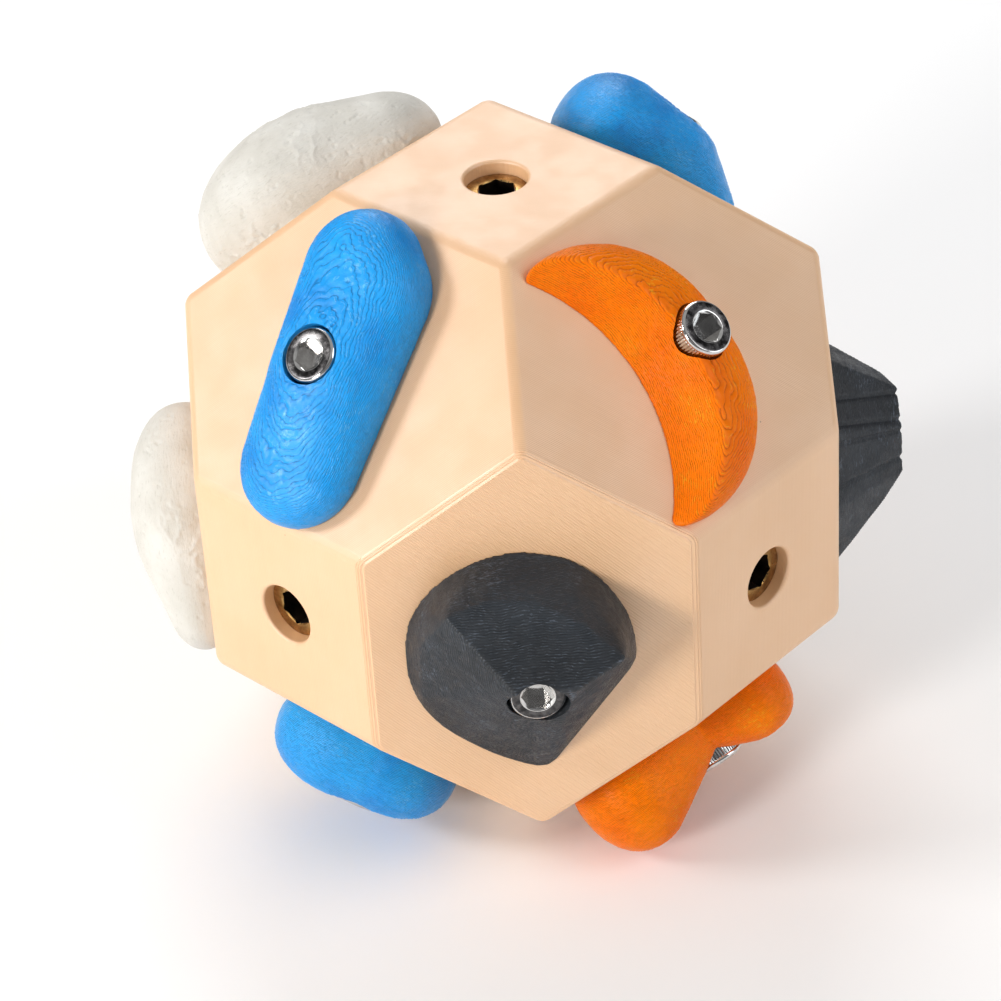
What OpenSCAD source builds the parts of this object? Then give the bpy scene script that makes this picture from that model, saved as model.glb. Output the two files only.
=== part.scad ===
// Hand-size climbing ball: an eighteen-faced printed ball with a threaded insert in every face
// and a small climbing hold bolted to each of its twelve hexagonal faces.
// Origin: centre of the bottom square face, on which the ball rests. +Z is up.
// A face frame has +Z out of the face and +Y towards the top of the ball.

/* [Ball] */
// Distance across two opposite square faces
across_squares = 120; // [105:1:150]
// Length of a square face's sides, which also sets how far apart the hexagonal faces are
square_side = 40.4; // [34:0.2:50]
// Rounding radius of the ball's edges
edge_round = 3; // [1:0.5:4]

/* [Threaded inserts] */
// Depth of an insert's face below the face of the ball
insert_recess = 2.5; // [1:0.5:4]
// Length of an insert
insert_len = 12; // [10:0.5:14]
// Thickness of an insert's wall round its thread
insert_wall = 1.8; // [1.6:0.1:2.4]
// How far an insert's flange stands out round its barrel
flange_lip = 0.8; // [0.4:0.1:1.5]
// Thickness of an insert's flange
insert_flange_t = 1.5; // [1:0.1:2.5]
// Depth of the hexagonal drive
insert_drive_deep = 4; // [3:0.5:5]
// Pitch of the coarse thread outside an insert
barrel_pitch = 2; // [1.5:0.1:3]
// Depth of the coarse thread outside an insert
barrel_thread = 0.6; // [0.3:0.1:0.9]
// Chamfer round the mouth of each hole in the ball
mouth_chamfer = 0.6; // [0.2:0.1:1]

/* [Screws] */
// Nominal thread diameter
thread_d = 6; // [5:0.5:7]
// Thread pitch
thread_pitch = 1; // [0.8:0.1:1.25]
// Diameter of a screw's head
head_d = 10; // [9:0.5:11]
// Height of a screw's head
head_h = 6; // [5:0.5:7]
// Width across the flats of the hexagonal socket
socket_af = 5; // [4:0.5:5]
// Depth of the hexagonal socket
socket_deep = 3; // [2:0.5:3.5]
// Width of the chamfer round the socket's mouth
socket_ease = 0.5; // [0.2:0.1:0.8]
// Height of the plain rim above the knurl
head_rim = 0.9; // [0.5:0.1:1.5]
// Depth of the knurl's grooves
knurl_deep = 0.22; // [0.1:0.01:0.4]
// Length of the short screws, under the head
short_screw = 20; // [18:1:22]
// Length of the long screws, under the head
long_screw = 25; // [23:1:26]
// Number of ridges in the knurl
knurl_ridges = 48; // [24:4:60]

/* [Holds] */
// Height of the bean, the long blue hold
bean_h = 12.4; // [11:0.1:18]
// Height of the crescent, the orange hold with a scooped side
crescent_h = 9.6; // [8.5:0.1:13]
// Height of the ridge, the faceted grey hold with a crest
ridge_h = 18.3; // [17:0.1:22]
// Height of the wedge, the sloping blue hold
wedge_h = 16; // [14:0.5:20]
// Height of the dome, the large white hold
dome_h = 19.7; // [18:0.1:24]
// Height of the pebble, the long white hold
pebble_h = 14.3; // [13:0.1:18]
// Height of the mound, the oval blue hold
mound_h = 14; // [13:0.1:18]
// Height of the saddle, the two-lobed orange hold
saddle_h = 17; // [15:0.5:20]
// Height of the block, the flat-topped grey hold
block_h = 14.3; // [13:0.1:18]
// Height of the bar, the straight orange hold
bar_h = 14; // [13:0.5:18]
// Height of the prism, the three-sided grey hold
prism_h = 14; // [13:0.5:16]
// Height of the button, the round white hold
button_h = 16; // [15:0.5:18]

/* [Fits] */
// Radial clearance of a screw in its insert's thread
thread_gap = 0.05; // [0.02:0.01:0.1]
// Radial clearance of a screw in its hold
shank_gap = 0.35; // [0.2:0.05:0.6]
// Radial clearance of a screw head in its counterbore
head_gap = 0.4; // [0.2:0.1:1]
// Clearance between the flats of an insert's drive and a screw that passes through it
drive_gap = 0.1; // [0.05:0.05:0.3]
// Radial clearance of an insert in the ball
insert_gap = 0.05; // [0.02:0.01:0.1]
// Gap between a hold and the face under it, and between a head and its seat
seat_gap = 0.05; // [0.02:0.01:0.2]
// Room past the end of a screw in the ball
end_gap = 6.5; // [3:0.5:8]
// Least distance from a hold's rim to the nearest edge between two hexagonal faces
rim_gap = 1; // [0.5:0.25:3]

/* [Hidden] */

// A full circle, and the coarser one that hulls are made from.
round_fn = 64;
hull_fn = 32;
// Something longer than the ball.
far = 2 * across_squares;

// Distances from the middle. The planes |x| + |y| = rhomb hold the hexagonal faces.
square_dist = across_squares / 2;
square_half = square_side / 2;
rhomb = square_dist + square_half;
hex_dist = rhomb / sqrt(2);
// Distance from a hexagon's centre to its edge with another hexagon.
hex_edge_dist = rhomb / 2 * sqrt(2 / 3);

// The hold outlines below are drawn for faces with this reach, and follow the real one.
drawn_reach = 31.75;
fit = (hex_edge_dist - rim_gap) / drawn_reach;

// How far a rounded edge lies inside the sharp one, for faces that turn by the given angle.
function edge_cut(turn) = edge_round * (1 / cos(turn / 2) - 1);
square_edge_dist = square_dist * cos(22.5) + square_half * sin(22.5) - edge_cut(45);
hex_edge_out = rhomb * 2 / sqrt(6) - edge_cut(60);

// Directions, as unit vectors, with one of each opposite pair.
square_dirs = [[1, 0, 0], [0, 1, 0], [0, 0, 1]];
hex_dirs = [for (s = [-1, 1]) each [[1, s, 0], [1, 0, s], [0, 1, s]]] / sqrt(2);
square_edge_dirs = [
  for (s = [-1, 1], a = [[cos(22.5), sin(22.5)], [sin(22.5), cos(22.5)]])
    each [[a[0], s * a[1], 0], [a[0], 0, s * a[1]], [0, a[0], s * a[1]]]
];
hex_edge_dirs = [
  for (s = [-1, 1], t = [-1, 1])
    each [[2, s, t], [s, 2, t], [s, t, 2]]
] / sqrt(6);

// Faces: [polar angle, azimuth].
top_face = [0, 0];
bottom_face = [180, 0];
left_face = [90, 0];
right_face = [90, 90];
rear_right_face = [90, 180];
rear_left_face = [90, 270];

// Holds: [polar angle, azimuth, turn on the face, seat height, screw length].
bean = [45, 0, 0, 5.7, short_screw];
crescent = [45, 90, 0, 4.3, short_screw];
ridge = [90, 45, 0, 8.1, long_screw];
wedge = [45, 180, 214.6, 7.7, short_screw];
dome = [45, 270, 143.7, 11, long_screw];
pebble = [90, 315, 124.6, 7.3, short_screw];
mound = [135, 0, 145.4, 7.3, short_screw];
saddle = [135, 90, 216.3, 5, short_screw];
block = [90, 135, 235.4, 7.7, short_screw];
bar = [90, 225, 60, 7.5, short_screw];
prism = [135, 180, 90, 7.5, short_screw];
button = [135, 270, 0, 9.5, long_screw];
holds = [bean, crescent, ridge, wedge, dome, pebble, mound, saddle, block, bar, prism, button];
squares = [top_face, bottom_face, left_face, right_face, rear_right_face, rear_left_face];

// Depths below a face of the ball.
drive_floor = insert_recess + insert_drive_deep;
insert_end = insert_recess + insert_len;
hole_end = insert_end + end_gap;

// Radii.
thread_r = thread_d / 2;
screw_r = thread_r - thread_gap;
shank_hole_r = thread_r + shank_gap;
head_r = head_d / 2;
counterbore_r = head_r + head_gap;
barrel_r = thread_r + insert_wall;
flange_r = barrel_r + flange_lip;
mouth_r = flange_r + insert_gap;
// Corner radii of the two hexagonal sockets.
drive_r = (thread_r + drive_gap) / cos(30);
socket_r = socket_af / 2 / cos(30);
thread_depth = 0.4 * thread_pitch;

// Puts its children in the frame of a face at the given distance from the ball's centre.
module on_face(face, distance, turn = 0) {
  translate([0, 0, square_dist])
    rotate([0, face[0], face[1]])
      translate([0, 0, distance])
        rotate(90 + turn)
          children();
}

// The space between two opposite planes.
module slab(dir, distance) {
  rotate([0, acos(dir[2]), atan2(dir[1], dir[0])])
    cube([far, far, 2 * distance], center = true);
}

// The hole for one insert, cut down from the face at z = 0.
module insert_hole() {
  translate([0, 0, -mouth_chamfer])
    cylinder(h = 2 * mouth_chamfer, r1 = mouth_r, r2 = mouth_r + 2 * mouth_chamfer, $fn = round_fn);
  translate([0, 0, -insert_recess - insert_flange_t])
    cylinder(h = far, r = mouth_r, $fn = round_fn);
  translate([0, 0, -insert_end])
    cylinder(h = insert_len, r = barrel_r + insert_gap, $fn = round_fn);
  translate([0, 0, -hole_end])
    cylinder(h = hole_end, r = shank_hole_r, $fn = round_fn);
}

module ball_body() {
  color("navajowhite")
    difference() {
      translate([0, 0, square_dist])
        intersection() {
          intersection_for (dir = square_dirs) slab(dir, square_dist);
          intersection_for (dir = hex_dirs) slab(dir, hex_dist);
          intersection_for (dir = square_edge_dirs) slab(dir, square_edge_dist);
          intersection_for (dir = hex_edge_dirs) slab(dir, hex_edge_out);
        }
      for (face = squares) on_face(face, square_dist) insert_hole();
      for (face = holds) on_face(face, hex_dist) insert_hole();
    }
}

// Half the outline of a shaft with ring ridges, from its lower end up.
function ridged(r, depth, pitch, low, high) = [
  [0, low],
  [r - depth, low],
  for (z = [low : pitch : high - pitch + 0.001])
    each [[r - depth, z + 0.1 * pitch], [r, z + 0.5 * pitch], [r - depth, z + 0.9 * pitch]],
  [r - depth, high],
  [0, high]
];

// A threaded insert: flange, coarse outer thread, hexagonal drive and inner thread.
module insert_at_origin() {
  flange_low = -insert_recess - insert_flange_t;
  difference() {
    union() {
      translate([0, 0, flange_low])
        cylinder(h = insert_flange_t, r = flange_r, $fn = round_fn);
      rotate_extrude($fn = round_fn)
        polygon(ridged(barrel_r, barrel_thread, barrel_pitch, -insert_end, flange_low));
    }
    translate([0, 0, -insert_end - 1])
      cylinder(h = insert_end, r = thread_r, $fn = round_fn);
    translate([0, 0, -drive_floor])
      cylinder(h = drive_floor, r = drive_r, $fn = 6);
  }
}

module open_insert(face) {
  color("darkgoldenrod") on_face(face, square_dist) insert_at_origin();
}

module hold_insert(face) {
  color("darkgoldenrod") on_face(face, hex_dist) insert_at_origin();
}

// The knurled outline of a screw's head.
function knurled(r) = [
  for (i = [0 : 2 * knurl_ridges - 1])
    (i % 2 == 0 ? r : r - knurl_deep) * [cos(i * 180 / knurl_ridges), sin(i * 180 / knurl_ridges)]
];

// A socket-head screw. Its shank ends in a chamfered point.
module hold_screw(face) {
  seat = face[3] + seat_gap;
  tip = seat - face[4];
  top = seat + head_h;
  color("silver")
    on_face(face, hex_dist)
      difference() {
        union() {
          rotate_extrude($fn = round_fn)
            polygon(ridged(screw_r, thread_depth, thread_pitch, tip, seat));
          translate([0, 0, seat])
            linear_extrude(head_h - head_rim) polygon(knurled(head_r));
          translate([0, 0, top - head_rim])
            cylinder(h = head_rim, r1 = head_r - knurl_deep / 2, r2 = head_r - head_rim / 2,
              $fn = round_fn);
        }
        translate([0, 0, top - socket_deep])
          cylinder(h = far, r = socket_r, $fn = 6);
        translate([0, 0, top - socket_ease])
          cylinder(h = 2 * socket_ease, r1 = socket_r - socket_ease, r2 = socket_r + socket_ease,
            $fn = round_fn);
      }
}

// Half the outline of a rounded lump: a narrow foot, the widest place at a quarter of the
// height, and a crown. A fullness of 1 gives a quarter ellipse, and less gives a fuller shoulder.
function lump_outline(r, top, fullness) = [
  [0, 0],
  [r - 0.7, 0],
  for (t = [0 : 11.25 : 90])
    [r * pow(cos(t), fullness), top * (0.22 + 0.78 * pow(sin(t), fullness))]
];

// A lump on the face: [x, y, radius along x, radius along y, height, fullness].
module lump(l) {
  translate([l[0] * fit, l[1] * fit, 0])
    scale([fit, fit * l[3] / l[2], 1])
      rotate_extrude($fn = hull_fn) polygon(lump_outline(l[2], l[4], l[5]));
}

// One smooth shape over several lumps.
module blended(lumps) {
  hull() for (l = lumps) lump(l);
}

// How far in a corner's centre lies, for corners softened to the given radius.
function inset(p, soft) = 1 - soft / max(norm([p[0], p[1]]), 4);

// A faceted shape over points on the face and above it, with softened corners.
module faceted(points, soft = 0.8) {
  hull()
    for (p = points)
      translate([for (a = [0, 1]) p[a] * fit * inset(p, soft), max(p[2] - soft, 0)])
        intersection() {
          sphere(r = soft, $fn = 12);
          translate([0, 0, soft]) cube(2 * soft, center = true);
        }
}

// Places a hold on its face, lifted by the seat gap, and cuts its screw hole and counterbore.
module bolted(face) {
  on_face(face, hex_dist)
    difference() {
      translate([0, 0, seat_gap]) rotate(face[2]) children();
      translate([0, 0, -1])
        cylinder(h = far, r = shank_hole_r, $fn = round_fn);
      translate([0, 0, face[3]])
        cylinder(h = far, r = counterbore_r, $fn = round_fn);
    }
}

module bean_hold() {
  color("dodgerblue")
    bolted(bean)
      blended([
        [-3.8, 16.8, 11.2, 11.2, bean_h - 1.8, 0.82],
        [0.2, 13.6, 11.1, 11.1, bean_h - 1.4, 0.82],
        [0, -1, 11.4, 11.4, bean_h, 0.88],
        [1.7, -17.6, 11.4, 11, bean_h - 3, 0.82]
      ]);
}

// A low dome with one side scooped out by a cone, which leaves a crest along the scoop. The two
// tips where the dome's outline meets the scoop's are rounded.
module crescent_hold() {
  dome = [
    [-14.8, 1.3, 24, 24, crescent_h, 0.9],
    [-14.8, -2.7, 24, 24, crescent_h, 0.9]
  ];
  scoop_at = [-43 * fit, 1.2 * fit];
  scoop_r = 32.2 * fit;
  scoop_slope = 0.78;
  tip_round = 2.6 * fit;
  spare = 0.5 * fit;
  color("darkorange")
    bolted(crescent)
      intersection() {
        difference() {
          blended(dome);
          translate([scoop_at[0], scoop_at[1], -1])
            cylinder(h = crescent_h + 2, r1 = scoop_r - scoop_slope,
              r2 = scoop_r + scoop_slope * (crescent_h + 1), $fn = round_fn);
        }
        translate([0, 0, -1])
          linear_extrude(crescent_h + 2)
            offset(r = tip_round, $fn = hull_fn)
              offset(delta = -tip_round)
                difference() {
                  hull()
                    for (l = dome)
                      translate([l[0] * fit, l[1] * fit])
                        circle(r = l[2] * fit + spare, $fn = round_fn);
                  translate(scoop_at)
                    circle(r = scoop_r - spare, $fn = round_fn);
                }
      }
}

module ridge_hold() {
  color("darkslategray")
    bolted(ridge)
      faceted([
        // Foot, a teardrop with its point down the face
        [-22, -2, 0], [-21, 7, 0], [-16.5, 14, 0], [-9.5, 18.7, 0], [-2.5, 20.3, 0], [4, 19.2, 0],
        [8.5, 17, 0], [13, 12.5, 0], [16.5, 6, 0], [17.8, -1, 0], [16.8, -6, 0], [10, -15, 0],
        [5, -21.8, 0], [1.2, -26.4, 0], [-4, -25, 0], [-10, -21.5, 0], [-16.5, -16, 0],
        [-20.5, -9.5, 0],
        // Shoulders
        [-19.5, 6, ridge_h - 12.5], [-20, -7, ridge_h - 15], [16.6, 2, ridge_h - 9.5],
        // Corners of the sloping upper facet, from its rim to the crest
        [-14.5, 15.2, ridge_h - 7.6], [-8, 17.2, ridge_h - 9], [0.5, 16.6, ridge_h - 8.6],
        [9, 12.9, ridge_h - 5.9], [15, 8.2, ridge_h - 2.6], [7, 4.7, ridge_h],
        [-4.4, 4.7, ridge_h],
        // Lower edge, down to the point
        [4, -8, ridge_h - 5.2], [4.5, -14.5, ridge_h - 10]
      ]);
}

module wedge_hold() {
  color("dodgerblue")
    bolted(wedge)
      blended([
        [-9.5, 0, 11.5, 18, wedge_h, 0.88],
        [1, 0, 11, 17, wedge_h - 2.4, 0.88],
        [9.5, 0, 7.5, 12, wedge_h - 10.5, 0.9]
      ]);
}

module dome_hold() {
  color("lightgray")
    bolted(dome)
      blended([
        [-5, 0, 20.5, 20, dome_h, 0.9],
        [6, 0, 18, 17, dome_h - 4.5, 0.9]
      ]);
}

module pebble_hold() {
  color("lightgray")
    bolted(pebble)
      blended([
        [-4, 0, 19, 17, pebble_h, 0.9],
        [-18, 0, 13, 12, pebble_h - 4.8, 0.9]
      ]);
}

module mound_hold() {
  color("dodgerblue")
    bolted(mound)
      blended([
        [-3, 0, 13.5, 13.5, mound_h - 0.8, 0.85],
        [5, 0, 13.9, 13, mound_h, 0.85]
      ]);
}

// Two lobes with a low waist between them, where the screw sits.
module saddle_hold() {
  waist = [0.5, 0, 9, 9.5, 6.8, 0.8];
  color("darkorange")
    bolted(saddle)
      union() {
        blended([waist, [-11, -3.5, 7.8, 9, 11.8, 0.8]]);
        blended([waist, [16.8, -6, 10, 10.5, saddle_h, 0.9]]);
      }
}

module block_hold() {
  color("darkslategray")
    bolted(block)
      faceted([
        [-18, -6, 0], [-14, -15, 0], [0, -19, 0], [14, -15, 0], [24, -4, 0], [24, 5, 0],
        [13, 15, 0], [-2, 18, 0], [-14, 13, 0], [-18, 5, 0],
        [-11, -4, 11.8], [-11, 4, 11.8], [13, -4, 10.8], [13, 4, 10.8],
        [-8, -6, block_h], [0, -9, block_h], [8, -5, block_h],
        [8, 5, block_h], [0, 8, block_h], [-8, 6, block_h]
      ]);
}

module bar_hold() {
  color("darkorange")
    bolted(bar)
      blended([
        [-19, 0, 9.5, 11, bar_h - 2, 0.8],
        [0, 2, 11, 11.5, bar_h, 0.8],
        [19, 0, 9.5, 11, bar_h - 2, 0.8]
      ]);
}

module prism_hold() {
  color("darkslategray")
    bolted(prism)
      faceted([
        [22, 0, 0], [18, 9, 0], [-4, 20, 0], [-12, 18, 0], [-18, 9, 0], [-19, -8, 0],
        [-12, -18, 0], [-4, -20, 0], [18, -9, 0],
        [10, 0, prism_h], [-8, 9, prism_h], [-8, -9, prism_h], [19, 0, 5]
      ]);
}

module button_hold() {
  color("lightgray")
    bolted(button)
      blended([[0, 1, 19, 18.5, button_h, 0.9]]);
}

ball_body();
open_insert(top_face);  // open_insert_top
open_insert(bottom_face);  // open_insert_bottom
open_insert(left_face);  // open_insert_left
open_insert(right_face);  // open_insert_right
open_insert(rear_left_face);  // open_insert_rear_left
open_insert(rear_right_face);  // open_insert_rear_right
bean_hold();
hold_screw(bean);  // bean_screw
hold_insert(bean);  // bean_insert
crescent_hold();
hold_screw(crescent);  // crescent_screw
hold_insert(crescent);  // crescent_insert
ridge_hold();
hold_screw(ridge);  // ridge_screw
hold_insert(ridge);  // ridge_insert
wedge_hold();
hold_screw(wedge);  // wedge_screw
hold_insert(wedge);  // wedge_insert
dome_hold();
hold_screw(dome);  // dome_screw
hold_insert(dome);  // dome_insert
pebble_hold();
hold_screw(pebble);  // pebble_screw
hold_insert(pebble);  // pebble_insert
mound_hold();
hold_screw(mound);  // mound_screw
hold_insert(mound);  // mound_insert
saddle_hold();
hold_screw(saddle);  // saddle_screw
hold_insert(saddle);  // saddle_insert
block_hold();
hold_screw(block);  // block_screw
hold_insert(block);  // block_insert
bar_hold();
hold_screw(bar);  // bar_screw
hold_insert(bar);  // bar_insert
prism_hold();
hold_screw(prism);  // prism_screw
hold_insert(prism);  // prism_insert
button_hold();
hold_screw(button);  // button_screw
hold_insert(button);  // button_insert
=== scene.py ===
import math

import bmesh
import bpy
import numpy as np
from mathutils import Matrix, Vector


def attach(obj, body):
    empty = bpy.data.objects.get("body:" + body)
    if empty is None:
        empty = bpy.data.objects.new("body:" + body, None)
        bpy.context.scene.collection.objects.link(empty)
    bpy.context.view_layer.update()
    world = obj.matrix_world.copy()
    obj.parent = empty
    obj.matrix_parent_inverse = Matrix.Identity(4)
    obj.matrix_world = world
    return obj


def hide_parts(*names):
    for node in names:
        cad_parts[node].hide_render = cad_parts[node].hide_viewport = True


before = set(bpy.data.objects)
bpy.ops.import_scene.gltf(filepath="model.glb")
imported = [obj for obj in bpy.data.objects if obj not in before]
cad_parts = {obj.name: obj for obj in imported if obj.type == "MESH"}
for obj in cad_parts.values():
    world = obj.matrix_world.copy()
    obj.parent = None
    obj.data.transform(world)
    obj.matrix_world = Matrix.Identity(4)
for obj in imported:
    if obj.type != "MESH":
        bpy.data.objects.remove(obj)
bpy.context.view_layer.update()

MM = 0.001

# ---------------------------------------------------------------- the ball, in millimetres
SQUARE = 60.0  # centre to a square face
HALF = 20.2  # half the side of a square face
RHOMB = SQUARE + HALF
HEX = RHOMB / math.sqrt(2)  # centre to a hexagonal face
REACH = RHOMB / 2 * math.sqrt(2 / 3)  # hexagon centre to an edge between hexagons
RIM_GAP = 1  # from a hold's rim to that edge
DRAWN_REACH = 31.75  # the room that the holds' outlines below are drawn for
FIT = (REACH - RIM_GAP) / DRAWN_REACH
EDGE_BEVEL = 1.5
LAYER = 0.28  # printed layer of the ball
RASTER = 0.456  # spacing of the lines on its printed top
HOLD_LAYER = 0.28  # printed layer of the holds
PRINT_UP = Vector((1, 1, 0)).normalized()

# ---------------------------------------------------------------- screws and inserts
SEAT_GAP = 0.05  # under a hold
HEAD_R, HEAD_H = 5.0, 6.0
SOCKET_FLATS, SOCKET_DEEP = 5.0, 3.0
KNURL_RIDGES = 54
COUNTERBORE_R = 5.4
SHANK_HOLE_R = 3.35
SCREW_R = 2.95
SCREW_PITCH = 1.0
SHORT, LONG = 20.0, 25.0  # under the head
RECESS = 2.5  # depth of an insert's face below the face of the ball
FLANGE_R, FLANGE_T = 5.6, 1.5
BARREL_R = 4.8
BARREL_PITCH = 2.0
INSERT_GAP = 0.05
INSERT_END = 14.5  # depth of an insert's far end
INSERT_BORE = (2.75, 3.0)  # radii of the crests and the roots of its thread
DRIVE_FLATS, DRIVE_DEEP = 6.2, 4.0
MOUTH_R = 5.65
MOUTH_CHAMFER = 0.6
HOLE_END = 21.0  # depth of a hole in the ball

# Faces: polar angle and azimuth of the normal.
SQUARES = {
    "top": (0, 0),
    "bottom": (180, 0),
    "left": (90, 0),
    "right": (90, 90),
    "rear_right": (90, 180),
    "rear_left": (90, 270),
}
# Holds: face, turn on the face, seat height, screw length, print.
HOLDS = {
    "bean": ((45, 0), 0, 5.7, SHORT, "blue"),
    "crescent": ((45, 90), 0, 4.3, SHORT, "orange"),
    "ridge": ((90, 45), 0, 8.1, LONG, "grey"),
    "wedge": ((45, 180), 214.6, 7.7, SHORT, "blue"),
    "dome": ((45, 270), 143.7, 11, LONG, "white"),
    "pebble": ((90, 315), 124.6, 7.3, SHORT, "white"),
    "mound": ((135, 0), 145.4, 7.3, SHORT, "blue"),
    "saddle": ((135, 90), 216.3, 5, SHORT, "orange"),
    "block": ((90, 135), 235.4, 7.7, SHORT, "grey"),
    "bar": ((90, 225), 60, 7.5, SHORT, "orange"),
    "prism": ((135, 180), 90, 7.5, SHORT, "grey"),
    "button": ((135, 270), 0, 9.5, LONG, "white"),
}


def face_matrix(face, distance, turn=0.0):
    """The frame of a face, in metres: +Z out of it, +Y towards the top of the ball."""
    polar, azimuth = (math.radians(a) for a in face)
    return (
        Matrix.Translation((0, 0, SQUARE * MM))
        @ Matrix.Rotation(azimuth, 4, "Z")
        @ Matrix.Rotation(polar, 4, "Y")
        @ Matrix.Translation((0, 0, distance * MM))
        @ Matrix.Rotation(math.radians(90 + turn), 4, "Z")
    )


# ---------------------------------------------------------------- waviness of the layers
# Each wave: its height in mm, its turn per mm along x and y, and the bend, turns and start of
# the wave inside it.
WARP = (
    (0.10, 0.52, 0.16, 1.7, 0.13, 0.37, 0.4),
    (0.07, -0.21, 0.74, 1.4, 0.57, -0.12, 2.1),
    (0.045, 1.55, 1.15, 1.2, -0.7, 0.9, 4.0),
    (0.02, 3.9, -2.7, 0.8, 1.9, 1.6, 1.0),
)


def print_warp(x, y):
    """How far, in mm, the layers of a hold stand off level at places given in mm."""
    total = np.zeros(len(x))
    for size, ax, ay, bend, bx, by, start in WARP:
        total += size * np.sin(ax * x + ay * y + bend * np.sin(bx * x + by * y) + start)
    return total


# ---------------------------------------------------------------- noise on arrays of points
def hashed(cell, seed):
    """A repeatable random number from 0 to 1 for each whole-number cell."""
    c = cell.astype(np.int64).astype(np.uint64)
    h = c[..., 0] * np.uint64(73856093) ^ c[..., 1] * np.uint64(19349663)
    h = h ^ c[..., 2] * np.uint64(83492791) ^ np.uint64(seed * 2654435761 % 2**32)
    h = (h ^ (h >> np.uint64(13))) * np.uint64(1274126177)
    h = h ^ (h >> np.uint64(16))
    return (h & np.uint64(0xFFFFFF)).astype(float) / float(0xFFFFFF)


def value_noise(p, seed):
    """Smooth noise from -1 to 1, with cells one unit across."""
    base = np.floor(p)
    f = p - base
    f = f * f * f * (f * (f * 6 - 15) + 10)
    total = np.zeros(len(p))
    for corner in range(8):
        o = np.array([corner & 1, corner >> 1 & 1, corner >> 2 & 1])
        w = np.prod(np.where(o, f, 1 - f), axis=1)
        total += w * hashed(base + o + 4096, seed)
    return total * 2 - 1


def fractal(p, size, seed, octaves=3):
    """Noise with detail at several sizes, the largest given in the units of p."""
    total, weight = np.zeros(len(p)), 0.0
    for i in range(octaves):
        total += value_noise(p / size * 2**i, seed + i) / 2**i
        weight += 1 / 2**i
    return total / weight


def smoothstep(a, b, x):
    t = np.clip((x - a) / (b - a), 0, 1)
    return t * t * (3 - 2 * t)


# ---------------------------------------------------------------- mesh helpers
def add_object(name, mesh):
    o = bpy.data.objects.new(name, mesh)
    bpy.context.scene.collection.objects.link(o)
    return o


def mesh_from(name, verts, faces=()):
    m = bpy.data.meshes.new(name)
    m.from_pydata([tuple(v) for v in verts], [], [tuple(f) for f in faces])
    m.update()
    return m


def mesh_of(name, bm):
    m = bpy.data.meshes.new(name)
    bm.to_mesh(m)
    bm.free()
    return m


def coordinates(mesh):
    co = np.empty(len(mesh.vertices) * 3)
    mesh.vertices.foreach_get("co", co)
    return co.reshape(-1, 3)


def set_coordinates(mesh, co):
    mesh.vertices.foreach_set("co", co.ravel())
    mesh.update()


def applied(o):
    """Applies every modifier of o."""
    dg = bpy.context.evaluated_depsgraph_get()
    done = bpy.data.meshes.new_from_object(o.evaluated_get(dg))
    old = o.data
    o.modifiers.clear()
    o.data = done
    bpy.data.meshes.remove(old)
    return o


def hull_mesh(points, name):
    """The convex hull of points given in millimetres."""
    bm = bmesh.new()
    for p in points:
        bm.verts.new(Vector(p) * MM)
    made = bmesh.ops.convex_hull(bm, input=bm.verts)
    drop = {
        g
        for g in made["geom_interior"] + made["geom_unused"]
        if isinstance(g, bmesh.types.BMVert)
    }
    bmesh.ops.delete(bm, geom=list(drop), context="VERTS")
    return mesh_of(name, bm)


def joined(meshes, name):
    bm = bmesh.new()
    for m in meshes:
        bm.from_mesh(m)
    return mesh_of(name, bm)


def turned_outward(m):
    """The mesh with each of its faces looking outwards."""
    bm = bmesh.new()
    bm.from_mesh(m)
    bmesh.ops.recalc_face_normals(bm, faces=bm.faces)
    bm.to_mesh(m)
    bm.free()
    return m


def lathe(profile, segments, name, radius_at=None):
    """A solid of revolution from (radius, height) in millimetres, with both ends on the axis."""
    verts, faces = [], []
    rings = []
    for i, (r, z) in enumerate(profile):
        if r < 1e-9:
            rings.append([len(verts)])
            verts.append((0, 0, z * MM))
            continue
        ring = []
        for k in range(segments):
            a = 2 * math.pi * k / segments
            rr = r if radius_at is None else radius_at(r, z, k)
            ring.append(len(verts))
            verts.append((rr * MM * math.cos(a), rr * MM * math.sin(a), z * MM))
        rings.append(ring)
    for a, b in zip(rings, rings[1:]):
        for k in range(segments):
            j = (k + 1) % segments
            if len(a) == 1:
                faces.append((a[0], b[k], b[j]))
            elif len(b) == 1:
                faces.append((a[k], b[0], a[j]))
            else:
                faces.append((a[k], b[k], b[j], a[j]))
    return turned_outward(mesh_from(name, verts, faces))


def cut(o, cutter_mesh, how="DIFFERENCE"):
    """Takes a mesh in o's own coordinates away from o, or keeps what it shares with o."""
    c = add_object("cutter", cutter_mesh)
    c.matrix_world = o.matrix_world
    mod = o.modifiers.new("cut", "BOOLEAN")
    mod.operation, mod.solver, mod.object = how, "EXACT", c
    bpy.context.view_layer.update()
    applied(o)
    bpy.data.objects.remove(c)
    return o


def place_on_face(o, matrix):
    """Moves the mesh to a face, and keeps each point's old place for the materials."""
    mesh = o.data
    co = coordinates(mesh)
    kept = mesh.attributes.new("face_place", "FLOAT_VECTOR", "POINT")
    kept.data.foreach_set("vector", co.astype(np.float32).ravel())
    mesh.transform(matrix)
    mesh.update()
    o.matrix_world = Matrix.Identity(4)


def smooth_shaded(mesh, angle):
    """Smooth, with an edge kept sharp where it turns by more than so many degrees."""
    mesh.polygons.foreach_set("use_smooth", [True] * len(mesh.polygons))
    mesh.set_sharp_from_angle(angle=math.radians(angle))
    mesh.update()


def dressed(o, *materials):
    o.data.materials.clear()
    for m in materials:
        o.data.materials.append(m)


# ---------------------------------------------------------------- materials
def new_material(name):
    m = bpy.data.materials.new(name)
    m.use_nodes = True
    nt = m.node_tree
    bsdf = nt.nodes["Principled BSDF"]
    return m, nt, bsdf


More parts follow.
